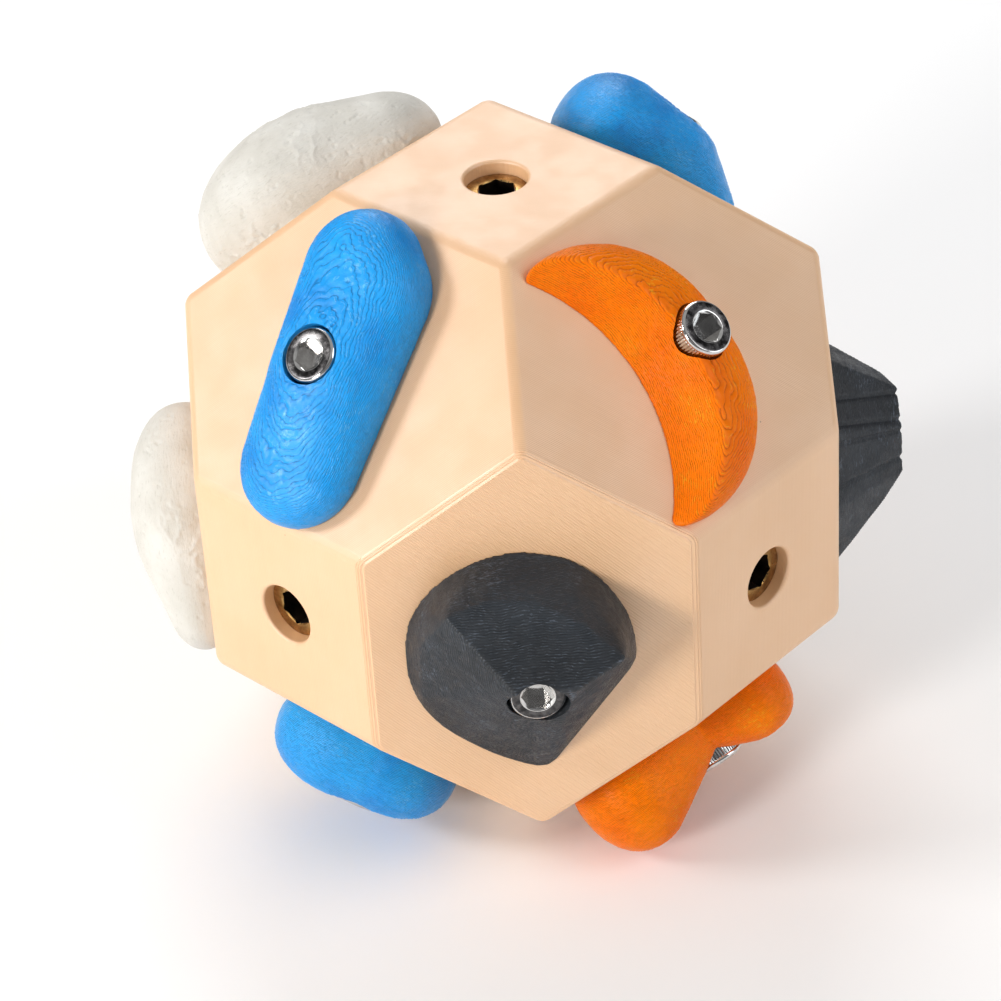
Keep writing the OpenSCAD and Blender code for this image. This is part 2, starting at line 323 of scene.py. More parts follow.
class Tree:
    """Short calls for building a node tree."""

    def __init__(self, nt):
        self.nt = nt

    def put(self, socket, value):
        if hasattr(value, "is_output"):
            self.nt.links.new(value, socket)
        else:
            socket.default_value = value

    def math(self, operation, a, b=0.0):
        n = self.nt.nodes.new("ShaderNodeMath")
        n.operation = operation
        for socket, value in zip(n.inputs, (a, b)):
            self.put(socket, value)
        return n.outputs[0]

    def coords(self):
        """Where a point is in its face's frame, which place_on_face keeps on the mesh."""
        n = self.nt.nodes.new("ShaderNodeAttribute")
        n.attribute_type, n.attribute_name = "GEOMETRY", "face_place"
        return n.outputs["Vector"]

    def axis(self, vector):
        """X, Y and Z of a vector."""
        n = self.nt.nodes.new("ShaderNodeSeparateXYZ")
        self.put(n.inputs[0], vector)
        return n.outputs

    def stretched(self, vector, scale, along, along_scale):
        """Coordinates scaled by one amount, with another scaled value added along Z."""
        n = self.nt.nodes.new("ShaderNodeVectorMath")
        n.operation = "SCALE"
        self.put(n.inputs[0], vector)
        n.inputs["Scale"].default_value = scale
        c = self.nt.nodes.new("ShaderNodeCombineXYZ")
        self.put(c.inputs[2], self.math("MULTIPLY", along, along_scale))
        a = self.nt.nodes.new("ShaderNodeVectorMath")
        a.operation = "ADD"
        self.put(a.inputs[0], n.outputs[0])
        self.put(a.inputs[1], c.outputs[0])
        return a.outputs[0]

    def dot(self, vector, direction):
        n = self.nt.nodes.new("ShaderNodeVectorMath")
        n.operation = "DOT_PRODUCT"
        self.put(n.inputs[0], vector)
        n.inputs[1].default_value = direction
        return n.outputs["Value"]

    def noise(self, vector, scale, detail=2.0, roughness=0.5):
        n = self.nt.nodes.new("ShaderNodeTexNoise")
        self.put(n.inputs["Vector"], vector)
        n.inputs["Scale"].default_value = scale
        n.inputs["Detail"].default_value = detail
        n.inputs["Roughness"].default_value = roughness
        return n.outputs["Fac"]

    def voronoi(self, vector, scale):
        n = self.nt.nodes.new("ShaderNodeTexVoronoi")
        self.put(n.inputs["Vector"], vector)
        n.inputs["Scale"].default_value = scale
        return n.outputs["Distance"]

    def ramp(self, factor, stops):
        n = self.nt.nodes.new("ShaderNodeValToRGB")
        self.put(n.inputs[0], factor)
        e = n.color_ramp.elements
        while len(e) < len(stops):
            e.new(0.5)
        for element, (position, colour) in zip(e, stops):
            element.position = position
            element.color = (*colour, 1.0)
        return n.outputs["Color"]

    def span(self, value, a, b, low=0.0, high=1.0):
        n = self.nt.nodes.new("ShaderNodeMapRange")
        n.interpolation_type = "SMOOTHSTEP"
        for socket, v in zip(n.inputs, (value, a, b, low, high)):
            self.put(socket, v)
        return n.outputs[0]

    def mix(self, factor, a, b):
        n = self.nt.nodes.new("ShaderNodeMix")
        n.data_type = "RGBA"
        self.put(n.inputs["Factor"], factor)
        self.put(n.inputs[6], a if hasattr(a, "is_output") else (*a, 1.0))
        self.put(n.inputs[7], b if hasattr(b, "is_output") else (*b, 1.0))
        return n.outputs[2]

    def bump(self, height, distance, strength=1.0, normal=None):
        n = self.nt.nodes.new("ShaderNodeBump")
        self.put(n.inputs["Height"], height)
        n.inputs["Distance"].default_value = distance
        n.inputs["Strength"].default_value = strength
        if normal is not None:
            self.put(n.inputs["Normal"], normal)
        return n.outputs["Normal"]


def srgb(r, g, b):
    """Linear colour from 0-255 display values."""

    def one(v):
        v /= 255
        return v / 12.92 if v < 0.04045 else ((v + 0.055) / 1.055) ** 2.4

    return (one(r), one(g), one(b))


def body_material():
    """Peach plastic printed with PRINT_UP upwards: layers round the sides, raster on top."""
    m, nt, bsdf = new_material("ball_print")
    t = Tree(nt)
    p = t.coords()
    up = tuple(PRINT_UP)
    side = (-up[1], up[0], 0.0)
    layer_relief, broad_relief, grain_relief = 0.000009, 0.0007, 0.00002
    height = t.dot(p, up)
    across = t.dot(p, side)
    z = t.axis(p)[2]
    # Layers: a wave for each, uneven in strength.
    layers = t.math("SINE", t.math("MULTIPLY", height, 2 * math.pi / (LAYER * MM)))
    band = t.noise(t.stretched(p, 40, height, 1 / (LAYER * MM * 1.6)), 1.0, 2.0)
    layers = t.math("ADD", layers, t.math("MULTIPLY", band, 2.2))
    # The top face: diagonal lines, every second one lower.
    on_top = t.span(height, (HEX - 0.12) * MM, (HEX - 0.06) * MM)
    diagonal = t.math("MULTIPLY", t.math("ADD", across, z), 1 / math.sqrt(2))
    raster = t.math("SINE", t.math("MULTIPLY", diagonal, 2 * math.pi / (RASTER * MM)))
    second = t.math("SINE", t.math("MULTIPLY", diagonal, math.pi / (RASTER * MM)))
    line_band = t.noise(t.stretched(p, 30, diagonal, 1 / (RASTER * MM * 3)), 1.0, 2.0)
    raster = t.math("ADD", raster, t.math("MULTIPLY", second, 0.35))
    raster = t.math("ADD", raster, t.math("MULTIPLY", line_band, 1.2))
    wave = t.nt.nodes.new("ShaderNodeMix")
    wave.data_type = "FLOAT"
    t.put(wave.inputs[0], on_top)
    t.put(wave.inputs[2], layers)
    t.put(wave.inputs[3], t.math("MULTIPLY", raster, 1.7))
    relief = wave.outputs[0]
    grain = t.noise(p, 900, 3.0)
    broad = t.noise(p, 45, 3.0)
    n1 = t.bump(relief, layer_relief, 1.0)
    n2 = t.bump(broad, broad_relief, 0.12, n1)
    t.put(bsdf.inputs["Normal"], t.bump(grain, grain_relief, 0.3, n2))
    base = t.ramp(
        broad,
        [
            (0.3, srgb(228, 181, 134)),
            (0.5, srgb(231, 185, 139)),
            (0.7, srgb(233, 188, 144)),
        ],
    )
    # The grooves between the lines are a little darker, as painted shade.
    groove = t.span(relief, -2.2, 2.6, 0.16, 0.0)
    lined = t.mix(groove, base, srgb(190, 128, 84))
    speck = t.span(t.voronoi(p, 105), 0.010, 0.026, 1.0, 0.0)
    rare = t.span(t.noise(p, 60, 0.0), 0.62, 0.66)
    speck = t.math("MULTIPLY", speck, rare)
    t.put(bsdf.inputs["Base Color"], t.mix(speck, lined, srgb(120, 80, 50)))
    t.put(
        bsdf.inputs["Roughness"],
        t.span(t.noise(p, 160, 2.0), 0.3, 0.7, 0.42, 0.52),
    )
    bsdf.inputs["Subsurface Weight"].default_value = 0.06
    bsdf.inputs["Subsurface Radius"].default_value = (1.0, 0.6, 0.4)
    bsdf.inputs["Subsurface Scale"].default_value = 0.001
    bsdf.inputs["Specular IOR Level"].default_value = 1.0
    bsdf.inputs["IOR"].default_value = 1.7
    return m


FOOT_AT, RIM_AT = 0.22, 0.86  # how far up a layer its groove with painted shade and its edge with a painted highlight lie


def hold_material(name, dark, mid, light, rough, shine, glint, colour_of_glint):
    """Plastic of a printed hold: each layer has a groove at its foot, painted with shade, and an
    edge painted with a highlight.
    """
    layer_relief, streak_relief, broad_relief = 0.00007, 0.00013, 0.0004
    m, nt, bsdf = new_material(name)
    t = Tree(nt)
    p = t.coords()
    x, y, z = (t.math("MULTIPLY", v, 1 / MM) for v in t.axis(p))
    broad = t.noise(p, 90, 3.0)
    # Short streaks along the layers: fine across them, long along them.
    streaks = t.noise(t.stretched(p, 900, t.axis(p)[2], 4200), 1.0, 3.0, 0.6)
    # How far up its layer a point is, from 0 to 1, with layers as wavy as print_warp's.
    warp = None
    for size, ax, ay, bend, bx, by, start in WARP:
        inner = t.math("ADD", t.math("MULTIPLY", x, bx), t.math("MULTIPLY", y, by))
        inner = t.math("MULTIPLY", t.math("SINE", inner), bend)
        outer = t.math("ADD", t.math("MULTIPLY", x, ax), t.math("MULTIPLY", y, ay))
        outer = t.math("ADD", t.math("ADD", outer, inner), start)
        wave = t.math("MULTIPLY", t.math("SINE", outer), size)
        warp = wave if warp is None else t.math("ADD", warp, wave)
    level = t.math("DIVIDE", t.math("ADD", z, warp), HOLD_LAYER)
    part = t.math("FRACT", level)
    broken = t.span(streaks, 0.38, 0.58, 0.35, 1.0)
    from_foot = t.math("ABSOLUTE", t.math("SUBTRACT", part, FOOT_AT))
    foot = t.span(from_foot, 0.05, 0.2, 1.0, 0.0)
    foot = t.math("MULTIPLY", foot, broken)
    from_rim = t.math("ABSOLUTE", t.math("SUBTRACT", part, RIM_AT))
    rim = t.span(from_rim, 0.03, 0.15, 1.0, 0.0)
    rim = t.math("MULTIPLY", rim, t.span(streaks, 0.46, 0.62))
    n1 = t.bump(t.math("SUBTRACT", rim, foot), layer_relief, 0.9)
    n2 = t.bump(streaks, streak_relief, 0.6, n1)
    t.put(bsdf.inputs["Normal"], t.bump(broad, broad_relief, 0.15, n2))
    base = t.ramp(broad, [(0.3, dark), (0.5, mid), (0.7, light)])
    # Painted shade: the groove at the foot of each layer is darker.
    base = t.mix(t.math("MULTIPLY", foot, 0.62), base, tuple(v * 0.42 for v in dark))
    # Painted highlights: glint colour in noise patches and along each layer's rim.
    glint_patch = t.span(t.noise(p, 150, 3.0, 0.6), 0.52, 0.64, 0.0, 1.0)
    painted_glint = t.math("MULTIPLY", glint_patch, t.span(streaks, 0.54, 0.66, 0.0, glint))
    painted_glint = t.math("MAXIMUM", painted_glint, t.math("MULTIPLY", rim, glint * 0.8))
    t.put(bsdf.inputs["Base Color"], t.mix(painted_glint, base, colour_of_glint))
    t.put(
        bsdf.inputs["Roughness"],
        t.span(t.noise(p, 420, 3.0), 0.35, 0.65, rough - 0.07, rough + 0.08),
    )
    bsdf.inputs["Specular IOR Level"].default_value = shine
    return m


def stone_material():
    """Off-white plastic with the rough, wrinkled look of a textured print."""
    m, nt, bsdf = new_material("white_print")
    t = Tree(nt)
    p = t.coords()
    z = t.axis(p)[2]
    warp = t.noise(p, 420, 4.0, 0.6)
    streaks = t.noise(t.stretched(p, 700, z, 2600), 1.0, 3.0, 0.6)
    broad = t.noise(p, 120, 4.0)
    n1 = t.bump(warp, 0.0003, 0.6)
    t.put(bsdf.inputs["Normal"], t.bump(streaks, 0.0002, 0.6, n1))
    base = t.ramp(
        broad,
        [
            (0.3, srgb(198, 195, 186)),
            (0.5, srgb(207, 204, 196)),
            (0.7, srgb(215, 213, 206)),
        ],
    )
    # Painted shade: where the streaks are low, in the pits, the colour is darker.
    pits = t.span(streaks, 0.26, 0.42, 0.35, 0.0)
    t.put(bsdf.inputs["Base Color"], t.mix(pits, base, srgb(160, 154, 142)))
    t.put(bsdf.inputs["Roughness"], t.span(warp, 0.35, 0.65, 0.56, 0.7))
    bsdf.inputs["Specular IOR Level"].default_value = 0.35
    return m


def steel_material():
    """Chromed steel, its tone and its roughness varied by noise."""
    m, nt, bsdf = new_material("steel")
    t = Tree(nt)
    p = t.coords()
    smear = t.noise(p, 700, 3.0)
    scratch = t.noise(p, 4200, 2.0)
    t.put(
        bsdf.inputs["Base Color"],
        t.ramp(smear, [(0.3, srgb(196, 194, 192)), (0.7, srgb(222, 221, 219))]),
    )
    t.put(bsdf.inputs["Roughness"], t.span(scratch, 0.35, 0.7, 0.07, 0.16))
    t.put(bsdf.inputs["Normal"], t.bump(smear, 0.00003, 0.15))
    bsdf.inputs["Metallic"].default_value = 1.0
    return m


def ring_painted_reflection_material():
    """The band on top of a screw's head, in darker steel: a painted dark reflection."""
    m, nt, bsdf = new_material("steel_ring_painted_reflection")
    t = Tree(nt)
    p = t.coords()
    smear = t.noise(p, 900, 3.0)
    t.put(
        bsdf.inputs["Base Color"],
        t.ramp(smear, [(0.35, srgb(58, 57, 58)), (0.65, srgb(104, 102, 102))]),
    )
    t.put(bsdf.inputs["Roughness"], t.span(smear, 0.3, 0.7, 0.16, 0.3))
    bsdf.inputs["Metallic"].default_value = 1.0
    return m


def brass_material():
    m, nt, bsdf = new_material("brass")
    t = Tree(nt)
    p = t.coords()
    stain = t.noise(p, 420, 4.0, 0.6)
    t.put(
        bsdf.inputs["Base Color"],
        t.ramp(
            stain,
            [
                (0.3, srgb(120, 88, 48)),
                (0.5, srgb(170, 132, 78)),
                (0.72, srgb(206, 172, 112)),
            ],
        ),
    )
    t.put(bsdf.inputs["Roughness"], t.span(stain, 0.3, 0.7, 0.42, 0.24))
    t.put(bsdf.inputs["Normal"], t.bump(stain, 0.0001, 0.3))
    bsdf.inputs["Metallic"].default_value = 1.0
    return m


def drive_shade_material():
    """The inside of an insert's drive and bore, near black as painted shade."""
    m, nt, bsdf = new_material("brass_drive_painted_shade")
    t = Tree(nt)
    p = t.coords()
    stain = t.noise(p, 600, 3.0)
    t.put(
        bsdf.inputs["Base Color"],
        t.ramp(stain, [(0.35, srgb(16, 13, 10)), (0.65, srgb(44, 33, 22))]),
    )
    t.put(bsdf.inputs["Roughness"], t.span(stain, 0.3, 0.7, 0.35, 0.55))
    bsdf.inputs["Metallic"].default_value = 0.6
    return m


BODY = body_material()
PRINTS = {
    "blue": hold_material(
        "blue_print", srgb(12, 132, 214), srgb(22, 152, 230), srgb(30, 160, 238),
        0.38, 0.34, 0.5, srgb(120, 204, 252),
    ),
    "orange": hold_material(
        "orange_print", srgb(245, 108, 0), srgb(250, 120, 0), srgb(254, 130, 0),
        0.36, 0.12, 0.6, srgb(255, 186, 40),
    ),
    "grey": hold_material(
        "grey_print", srgb(30, 33, 37), srgb(38, 42, 47), srgb(46, 51, 57),
        0.4, 0.4, 0.6, srgb(112, 122, 136),
    ),
    "white": stone_material(),
}
STEEL, RING_PAINTED_REFLECTION, BRASS, DRIVE_SHADE = (
    steel_material(),
    ring_painted_reflection_material(),
    brass_material(),
    drive_shade_material(),
)


# ---------------------------------------------------------------- ball
def insert_hole_cutter(name):
    """The hole for one insert, down from z = 0. Its mouth has a rounded chamfer."""
    c, spare, rows = MOUTH_CHAMFER, 2.0, 5
    profile = [(0, spare), (MOUTH_R + spare + c, spare), (MOUTH_R + c, 0.0)]
    for i in range(1, rows + 1):
        a = i / rows * math.pi / 2
        profile.append((MOUTH_R + c - c * math.sin(a), -c + c * math.cos(a)))
    profile += [
        (MOUTH_R, -RECESS - FLANGE_T),
        (BARREL_R + INSERT_GAP, -RECESS - FLANGE_T),
        (BARREL_R + INSERT_GAP, -INSERT_END),
        (SHANK_HOLE_R, -INSERT_END),
        (SHANK_HOLE_R, -HOLE_END),
        (0, -HOLE_END),
    ]
    return lathe(profile, 96, name)


def ball():
    """The ball, made round the origin and then raised to rest on its bottom face."""
    s, t = HALF, RHOMB / 2
    points = []
    for a in (-1, 1):
        for b in (-1, 1):
            for c in (-1, 1):
                points += [
                    (a * SQUARE, b * s, c * s),
                    (b * s, a * SQUARE, c * s),
                    (b * s, c * s, a * SQUARE),
                    (a * t, b * t, c * t),
                ]
    m = hull_mesh(points, "ball_body_looks")
    bm = bmesh.new()
    bm.from_mesh(m)
    bmesh.ops.dissolve_limit(
        bm, angle_limit=math.radians(2), verts=bm.verts, edges=bm.edges
    )
    bmesh.ops.bevel(
        bm,
        geom=list(bm.edges),
        offset=EDGE_BEVEL * MM,
        offset_type="OFFSET",
        segments=16,
        profile=0.5,
        affect="EDGES",
    )
    bm.to_mesh(m)
    bm.free()
    # The top of the print ends in visible steps, one for each layer.
    co = coordinates(m)
    up = np.array(PRINT_UP)
    depth = HEX - co @ up / MM
    steps = np.floor(depth / LAYER)
    part = depth / LAYER - steps
    stepped = (steps + smoothstep(0.62, 0.98, part)) * LAYER
    near = smoothstep(1.35, 0.9, depth) * (depth > 1e-4)
    co += np.outer((depth - stepped) * near * MM, up)
    set_coordinates(m, co)
    o = add_object("ball_body_looks", m)
    raised = Matrix.Translation((0, 0, SQUARE * MM))
    holes = [(face, SQUARE) for face in SQUARES.values()]
    holes += [(face, HEX) for face, *_ in HOLDS.values()]
    cutters = []
    for face, distance in holes:
        c = insert_hole_cutter("hole")
        c.transform(raised.inverted() @ face_matrix(face, distance))
        cutters.append(c)
    cut(o, joined(cutters, "cutters"))
    smooth_shaded(o.data, 24)
    place_on_face(o, raised)
    dressed(o, BODY)
    w = o.modifiers.new("normals", "WEIGHTED_NORMAL")
    w.keep_sharp = True
    w.weight = 100
    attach(o, "ball")
    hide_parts("ball_body")
    return o


# ---------------------------------------------------------------- holds
def lump_points(x, y, rx, ry, top, fullness):
    """Points of a rounded lump: a narrower foot, its widest part above that, and a crown."""
    around = 112
    foot_inset, foot_rows, crown_rows, crown_turn = 0.7, 5, 23, 4.0
    rows = [(1 - foot_inset / rx, 0.0)]
    foot = 0.22 * top
    for i in range(1, foot_rows):
        a = i / foot_rows
        rows.append((1 - foot_inset / rx * (1 - a) ** 1.6, foot * a))
    for i in range(crown_rows):
        a = math.radians(i * crown_turn)
        rows.append(
            (math.cos(a) ** fullness, foot + (top - foot) * math.sin(a) ** fullness)
        )
    points = []
    for share, z in rows:
        for k in range(around):
            a = 2 * math.pi * k / around
            points.append(
                (
                    (x + rx * share * math.cos(a)) * FIT,
                    (y + ry * share * math.sin(a)) * FIT,
                    z,
                )
            )
    points.append((x * FIT, y * FIT, top))
    return points


def blended(lumps, name):
    """One convex shape round several lumps."""
    points = []
    for lump in lumps:
        points += lump_points(*lump)
    return [hull_mesh(points, name)]


def faceted(corners, name):
    """A shape with flat faces between corners that are rounded a little."""
    soft, rows, around = 0.8, 7, 24
    points = []
    for x, y, z in corners:
        inset = 1 - soft / max(math.hypot(x, y), 4)
        cx, cy, cz = x * FIT * inset, y * FIT * inset, max(z - soft, 0)
        for i in range(rows):
            b = math.radians(i * 90 / (rows - 1))
            for k in range(around):
                a = 2 * math.pi * k / around
                points.append(
                    (
                        cx + soft * math.cos(b) * math.cos(a),
                        cy + soft * math.cos(b) * math.sin(a),
                        cz + soft * math.sin(b),
                    )
                )
    return [hull_mesh(points, name)]


def bean_shape(name):
    return blended(
        [
            (-3.8, 16.8, 11.2, 11.2, 10.6, 0.82),
            (0.2, 13.6, 11.1, 11.1, 11.0, 0.82),
            (0, -1, 11.4, 11.4, 12.4, 0.88),
            (1.7, -17.6, 11.4, 11, 9.4, 0.82),
        ],
        name,
    )


# The crescent: two domes side by side, less a cone, with its two tips rounded.
DOME_AT = ((-14.8, 1.3), (-14.8, -2.7))
DOME_R, DOME_H = 24.0, 9.6
SCOOP_AT = (-43.0, 1.2)
SCOOP_R, SCOOP_SLOPE = 32.2, 0.78
TIP_ROUND = 2.6


def crescent_shape(name):
    return blended([(*at, DOME_R, DOME_R, DOME_H, 0.9) for at in DOME_AT], name)


def rounded_foot(corners):
    """A smooth closed curve through points on the face."""
    points = []
    n, between = len(corners), 3
    for i in range(n):
        a, b, c, d = (np.array(corners[(i + k) % n][:2], float) for k in (-1, 0, 1, 2))
        for k in range(between):
            t = k / between
            q = 0.5 * (
                2 * b
                + (c - a) * t
                + (2 * a - 5 * b + 4 * c - d) * t**2
                + (3 * b - a - 3 * c + d) * t**3
            )
            points.append((q[0], q[1], 0))
    return points


def ridge_shape(name):
    h = 18.3
    foot = [
        (-22, -2, 0), (-21, 7, 0), (-16.5, 14, 0), (-9.5, 18.7, 0), (-2.5, 20.3, 0),
        (4, 19.2, 0), (8.5, 17, 0), (13, 12.5, 0), (16.5, 6, 0), (17.8, -1, 0),
        (16.8, -6, 0), (10, -15, 0), (5, -21.8, 0), (1.2, -26.4, 0), (-4, -25, 0),
        (-10, -21.5, 0), (-16.5, -16, 0), (-20.5, -9.5, 0),
    ]
    return faceted(
        rounded_foot(foot)
        + [
            (-19.5, 6, h - 12.5), (-20, -7, h - 15), (16.6, 2, h - 9.5),
            (-14.5, 15.2, h - 7.6), (-8, 17.2, h - 9), (0.5, 16.6, h - 8.6),
            (9, 12.9, h - 5.9), (15, 8.2, h - 2.6), (7, 4.7, h), (-4.4, 4.7, h),
            (4, -8, h - 5.2), (4.5, -14.5, h - 10),
        ],
        name,
    )


def wedge_shape(name):
    return blended(
        [
            (-9.5, 0, 11.5, 18, 16, 0.88),
            (1, 0, 11, 17, 13.6, 0.88),
            (9.5, 0, 7.5, 12, 5.5, 0.9),
        ],
        name,
    )


def dome_shape(name):
    return blended([(-5, 0, 20.5, 20, 19.7, 0.9), (6, 0, 18, 17, 15.2, 0.9)], name)


def pebble_shape(name):
    return blended([(-4, 0, 19, 17, 14.3, 0.9), (-18, 0, 13, 12, 9.5, 0.9)], name)


def mound_shape(name):
    return blended(
        [(-3, 0, 13.5, 13.5, 13.2, 0.85), (5, 0, 13.9, 13, 14, 0.85)], name
    )


def saddle_shape(name):
    waist = (0.5, 0, 9, 9.5, 6.8, 0.8)
    return blended([waist, (-11, -3.5, 7.8, 9, 11.8, 0.8)], name) + blended(
        [waist, (16.8, -6, 10, 10.5, 17, 0.9)], name
    )


def block_shape(name):
    h = 14.3
    return faceted(
        [
            (-18, -6, 0), (-14, -15, 0), (0, -19, 0), (14, -15, 0), (24, -4, 0), (24, 5, 0),
            (13, 15, 0), (-2, 18, 0), (-14, 13, 0), (-18, 5, 0),
            (-11, -4, 11.8), (-11, 4, 11.8), (13, -4, 10.8), (13, 4, 10.8),
            (-8, -6, h), (0, -9, h), (8, -5, h), (8, 5, h), (0, 8, h), (-8, 6, h),
        ],
        name,
    )


def bar_shape(name):
    return blended(
        [
            (-19, 0, 9.5, 11, 12, 0.8),
            (0, 2, 11, 11.5, 14, 0.8),
            (19, 0, 9.5, 11, 12, 0.8),
        ],
        name,
    )


def prism_shape(name):
    return faceted(
        [
            (22, 0, 0), (18, 9, 0), (-4, 20, 0), (-12, 18, 0), (-18, 9, 0), (-19, -8, 0),
            (-12, -18, 0), (-4, -20, 0), (18, -9, 0),
            (10, 0, 14), (-8, 9, 14), (-8, -9, 14), (19, 0, 5),
        ],
        name,
    )


def button_shape(name):
    return blended([(0, 1, 19, 18.5, 16, 0.9)], name)


SHAPES = {
    "bean": bean_shape,
    "crescent": crescent_shape,
    "ridge": ridge_shape,
    "wedge": wedge_shape,
    "dome": dome_shape,
    "pebble": pebble_shape,
    "mound": mound_shape,
    "saddle": saddle_shape,
    "block": block_shape,
    "bar": bar_shape,
    "prism": prism_shape,
    "button": button_shape,
}


FORWARD, BACK = 0.55, -0.57


def relaxed(mesh, passes, back=BACK):
    """Evens out a mesh: points move towards the middle of their neighbours, then back."""
    n = len(mesh.vertices)
    e = np.empty(len(mesh.edges) * 2, int)
    mesh.edges.foreach_get("vertices", e)
    a, b = e.reshape(-1, 2).T
    count = np.bincount(a, minlength=n) + np.bincount(b, minlength=n)
    co = coordinates(mesh)
    low = co[:, 2].min()
    foot = co[:, 2] < low + 0.05 * MM
    for i in range(passes):
        step = FORWARD if i % 2 == 0 else back
        total = np.stack(
            [
                np.bincount(a, co[b, k], n) + np.bincount(b, co[a, k], n)
                for k in range(3)
            ],
            1,
        )
        moved = co + step * (total / count[:, None] - co)
        moved[foot, 2] = low
        co = moved
    set_coordinates(mesh, co)


def vertex_normals(mesh):
    n = np.empty(len(mesh.vertices) * 3)
    mesh.vertex_normals.foreach_get("vector", n)
    return n.reshape(-1, 3)


# The block's grooves: x at the foot and at the top, in mm, and how deep and wide they are.
FLUTES = ((-6.2, -6.6), (-1.5, -1.8), (2.2, 0.3), (10.3, 5.2))
FLUTE_TOP, FLUTE_DEEP, FLUTE_WIDE = 14, 0.42, 0.42


def roughened(mesh, kind, seed, fluted):
    """Gives the surface its print marks: unevenness, layer steps and small faults."""
    co = coordinates(mesh)
    nrm = vertex_normals(mesh)
    p = co / MM
    clear_of_foot = smoothstep(0.15, 1.2, p[:, 2])
    if kind == "white":
        bumps = 0.16 * fractal(p, 7.0, seed, 3)
        wrinkle = 1 - np.abs(fractal(p, 3.4, seed + 20, 3)) * 2.2
        area = smoothstep(-0.15, 0.35, fractal(p, 16.0, seed + 40, 2))
        bumps += 0.3 * np.clip(wrinkle, 0, 1) ** 3 * area
        pits = smoothstep(0.42, 0.7, fractal(p, 1.3, seed + 60, 2))
        bumps -= 0.16 * pits
    else:
        bumps = 0.14 * fractal(p, 9.0, seed, 3) + 0.05 * fractal(p, 1.6, seed + 9, 2)
        if kind == "blue":
            area = smoothstep(0.0, 0.5, fractal(p, 10.0, seed + 30, 2))
            bumps += 0.10 * area * smoothstep(0.25, 0.6, fractal(p, 1.2, seed + 50, 2))
        if kind == "grey":
            bumps *= 0.8
    if kind == "grey" and fluted:
        for foot_x, top_x in FLUTES:
            off = p[:, 0] - (foot_x + (top_x - foot_x) * p[:, 2] / FLUTE_TOP)
            bumps -= FLUTE_DEEP * np.exp(-((off / FLUTE_WIDE) ** 2))
    bumps *= clear_of_foot
    # The whole skin goes in a little, so that the bumps stay inside the drawn outline.
    bumps -= 0.08 * clear_of_foot
    co = co + nrm * (bumps * MM)[:, None]
    if kind != "white":
        q = (co[:, 2] / MM + print_warp(co[:, 0] / MM, co[:, 1] / MM)) / HOLD_LAYER
        f = q - np.floor(q)
        shift = (smoothstep(0.5, 0.95, f) - f) * HOLD_LAYER * 0.85
        co[:, 2] += shift * clear_of_foot * MM
    set_coordinates(mesh, co)


def screw_room(seat):
    """What a hold leaves free for its screw: the shank's hole and the head's counterbore."""
    low, high = -1.0, 40.0
    profile = [(0, low), (SHANK_HOLE_R, low), (SHANK_HOLE_R, seat), (COUNTERBORE_R, seat)]
    profile += [(COUNTERBORE_R, high), (0, high)]
    return lathe(profile, 128, "room")


def crescent_scoop():
    """The cone that hollows one side of the crescent."""
    low, high = -1, DOME_H + 1
    profile = [(0, low)]
    profile += [(SCOOP_R + SCOOP_SLOPE * z, z) for z in (low, high)]
    profile += [(0, high)]
    m = lathe(profile, 256, "scoop")
    m.transform(Matrix.Translation((SCOOP_AT[0] * MM, SCOOP_AT[1] * MM, 0)))
    return m


def arc(centre, radius, start, end, steps):
    """Points of a circle from one angle to another, the short way round."""
    turn = (end - start + math.pi) % (2 * math.pi) - math.pi
    angles = start + turn * np.linspace(0, 1, steps)
    x, y = centre
    return [(x + radius * math.cos(a), y + radius * math.sin(a)) for a in angles]


def heading(a, b):
    """The angle of the line from a to b."""
    return math.atan2(b[1] - a[1], b[0] - a[0])


def crescent_outline():
    """A prism over the crescent's outline, with its two tips rounded."""
    spare = 0.5
    outer, inner = DOME_R + spare, SCOOP_R - spare
    sx, sy = SCOOP_AT
    tips = []
    for (ox, oy), side in zip(DOME_AT, (1, -1)):
        # Where a circle in the tip touches both arcs.
        a, b = outer - TIP_ROUND, inner + TIP_ROUND
        gap = math.hypot(sx - ox, sy - oy)
        along = (a * a - b * b + gap * gap) / (2 * gap)
        off = math.sqrt(a * a - along * along)
        ux, uy = (sx - ox) / gap, (sy - oy) / gap
        centre = (ox + ux * along + side * uy * off, oy + uy * along - side * ux * off)
        tips.append((centre, (ox, oy)))
    (up, top_dome), (low, low_dome) = tips
    back, scoop, tip = 60, 80, 20  # points along each kind of arc
    points = arc(top_dome, outer, heading(top_dome, up), 0.0, back)
    points += arc(low_dome, outer, 0.0, heading(low_dome, low), back)
    points += arc(low, TIP_ROUND, heading(low_dome, low), heading(low, SCOOP_AT), tip)[1:]
    points += arc(SCOOP_AT, inner, heading(SCOOP_AT, low), heading(SCOOP_AT, up), scoop)[1:]
    points += arc(up, TIP_ROUND, heading(up, SCOOP_AT), heading(top_dome, up), tip)[1:-1]
    n = len(points)
    verts = [(x * MM, y * MM, z * MM) for z in (-1, DOME_H + 1) for x, y in points]
    faces = [(i, (i + 1) % n, n + (i + 1) % n, n + i) for i in range(n)]
    faces += [tuple(range(n - 1, -1, -1)), tuple(range(n, 2 * n))]
    return turned_outward(mesh_from("outline", verts, faces))


